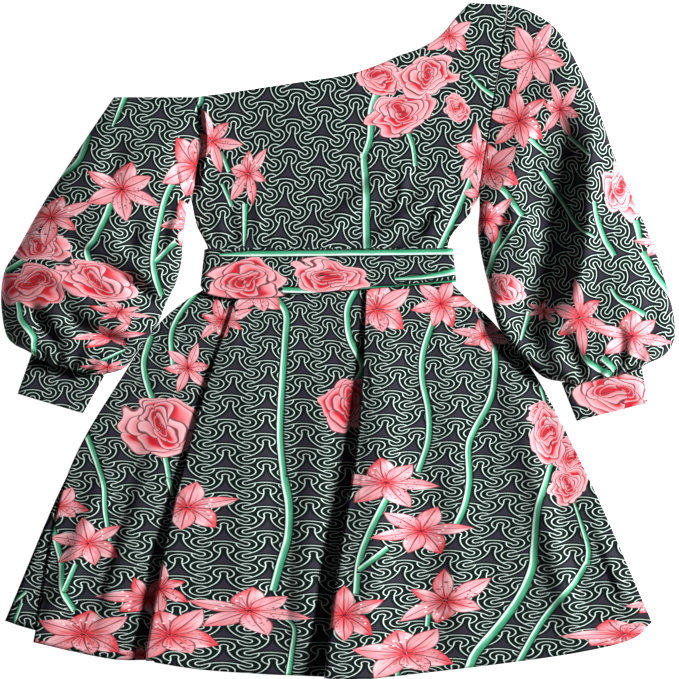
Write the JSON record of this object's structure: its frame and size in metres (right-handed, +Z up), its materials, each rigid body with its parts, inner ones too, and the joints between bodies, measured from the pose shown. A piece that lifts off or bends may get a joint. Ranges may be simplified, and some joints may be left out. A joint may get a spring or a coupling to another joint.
{
  "type": "ankara wax print dress",
  "caption": "One-shoulder wax print cotton dress laid flat: flared skirt with deep folds, balloon sleeves gathered into cuffs and a wide belt.",
  "frame": {"origin": "centre of the bounding box, on the surface that the dress lies on", "axes": "+Z up out of the surface, +Y from the hem to the neck, +X to the sleeve that is on the shoulder, as seen from above"},
  "size_m": [0.9745, 0.9783, 0.0409],
  "materials": {
    "wax_print": "matte printed cotton with a slight starch sheen",
    "belt_print": "matte printed cotton with a slight starch sheen"
  },
  "bodies": {
    "root": {"bodice_front": "wax_print", "bodice_back": "wax_print", "skirt_front": "wax_print", "skirt_back": "wax_print", "sleeve_off_shoulder": "wax_print", "sleeve_shoulder": "wax_print", "cuff_off_shoulder": "wax_print", "cuff_shoulder": "wax_print", "belt": "belt_print"}
  },
  "joints": []
}
